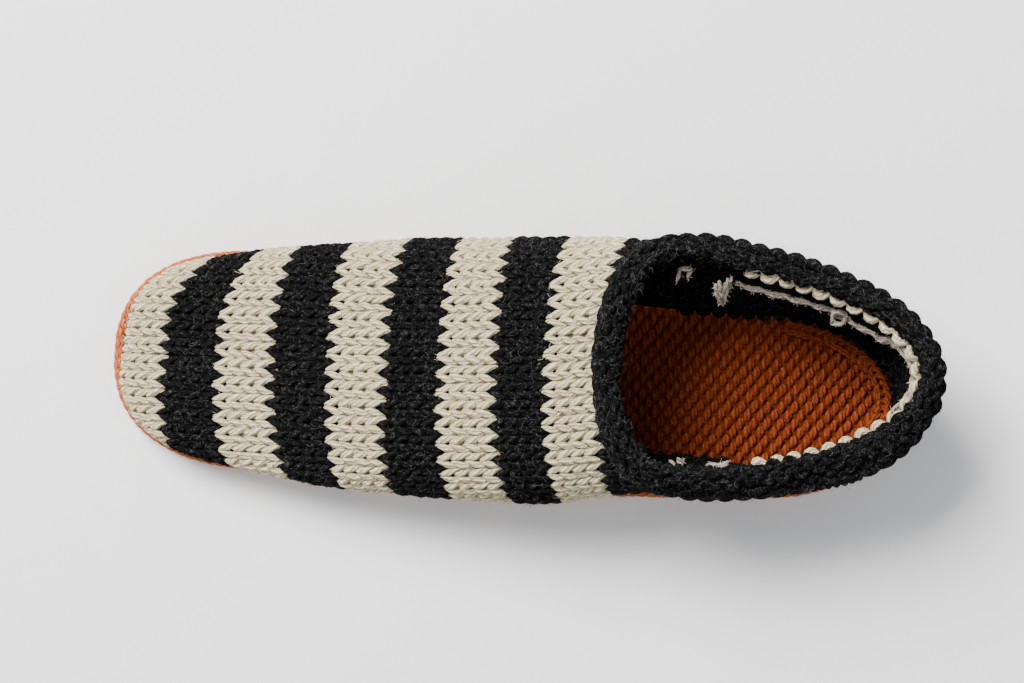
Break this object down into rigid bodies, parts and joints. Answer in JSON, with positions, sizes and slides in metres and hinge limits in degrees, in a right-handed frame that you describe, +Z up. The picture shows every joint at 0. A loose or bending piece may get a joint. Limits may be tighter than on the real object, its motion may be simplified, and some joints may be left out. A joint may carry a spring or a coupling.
{
  "type": "knit slipper",
  "caption": "Low hand-knitted slipper with a striped vamp, a thick knitted sole and a rolled collar round its open top.",
  "frame": {"origin": "on the surface the slipper stands on, under the middle of its box", "axes": "-X towards the toe, +X towards the heel, +Y towards the inner (big-toe) side, +Z up"},
  "size_m": [0.2508, 0.0846, 0.0574],
  "materials": {
    "sole": "knitted rust-orange wool",
    "upper": "knitted wool, oatmeal with charcoal stripes",
    "collar": "knitted charcoal wool"
  },
  "bodies": {
    "root": {"sole": "sole", "upper": "upper", "collar": "collar"}
  },
  "joints": []
}
